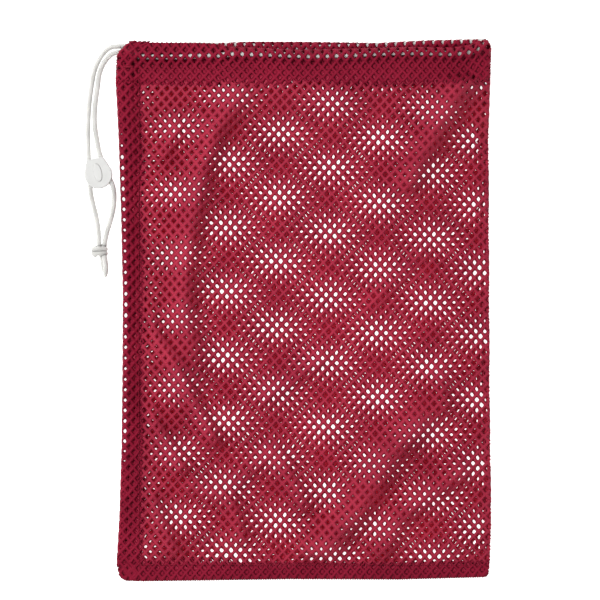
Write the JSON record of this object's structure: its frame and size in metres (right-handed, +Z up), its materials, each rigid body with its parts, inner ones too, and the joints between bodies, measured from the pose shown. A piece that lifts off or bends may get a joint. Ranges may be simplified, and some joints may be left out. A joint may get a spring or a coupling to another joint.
{
  "type": "mesh drawstring bag",
  "caption": "Flat-lying mesh drawstring sack with a sewn cord casing at the mouth, a round drawcord knotted at its end, and a sprung cord lock.",
  "frame": {"origin": "middle of the bag's outline, on the surface that it lies on", "axes": "+Z up from the surface, +Y from the bottom seam to the mouth, +X from the sewn side to the folded side"},
  "size_m": [0.3304, 0.4416, 0.0182],
  "materials": {
    "mesh": "matte warp-knit polyester mesh",
    "thread": "polyester sewing thread",
    "cord": "braided polyester cord",
    "lock_plastic": "moulded, satin gloss",
    "spring_steel": "drawn wire"
  },
  "bodies": {
    "bag": {"mesh_back_panel": "mesh", "mesh_front_panel": "mesh", "side_fold": "mesh", "side_seam_allowance": "mesh", "bottom_seam_allowance": "mesh", "casing_front": "mesh", "casing_back": "mesh", "casing_exit_corner": "mesh", "casing_fold_corner": "mesh", "side_seam_stitch": "thread", "bottom_seam_stitch": "thread", "casing_stitch_front": "thread", "casing_stitch_back": "thread", "cord_exit_tack": "thread"},
    "drawcord": {"drawcord_casing_run": "cord", "cord_strand_a": "cord", "cord_strand_b": "cord", "cord_knot": "cord", "cord_tail_a": "cord", "cord_tail_b": "cord"},
    "lock": {"lock_housing": "lock_plastic", "lock_base": "lock_plastic", "lock_spring": "spring_steel"},
    "button": {"lock_button": "lock_plastic"}
  },
  "joints": [
    {"name": "drawcord_pull", "type": "slide", "parent": "bag", "child": "drawcord", "axis": [-1, 0, 0], "range_m": [0, 0.02], "deforming": ["drawcord_casing_run"]},
    {"name": "lock_slide", "type": "slide", "parent": "drawcord", "child": "lock", "axis": [-0.0872, 0.9962, 0], "range_m": [-0.04, 0.052], "deforming": ["cord_strand_a", "cord_strand_b"]},
    {"name": "button_press", "type": "slide", "parent": "lock", "child": "button", "axis": [0, 0, -1], "range_m": [0, 0.0016], "stiffness_N_per_m": 1500, "springref_m": -0.001, "deforming": ["lock_spring"]}
  ]
}
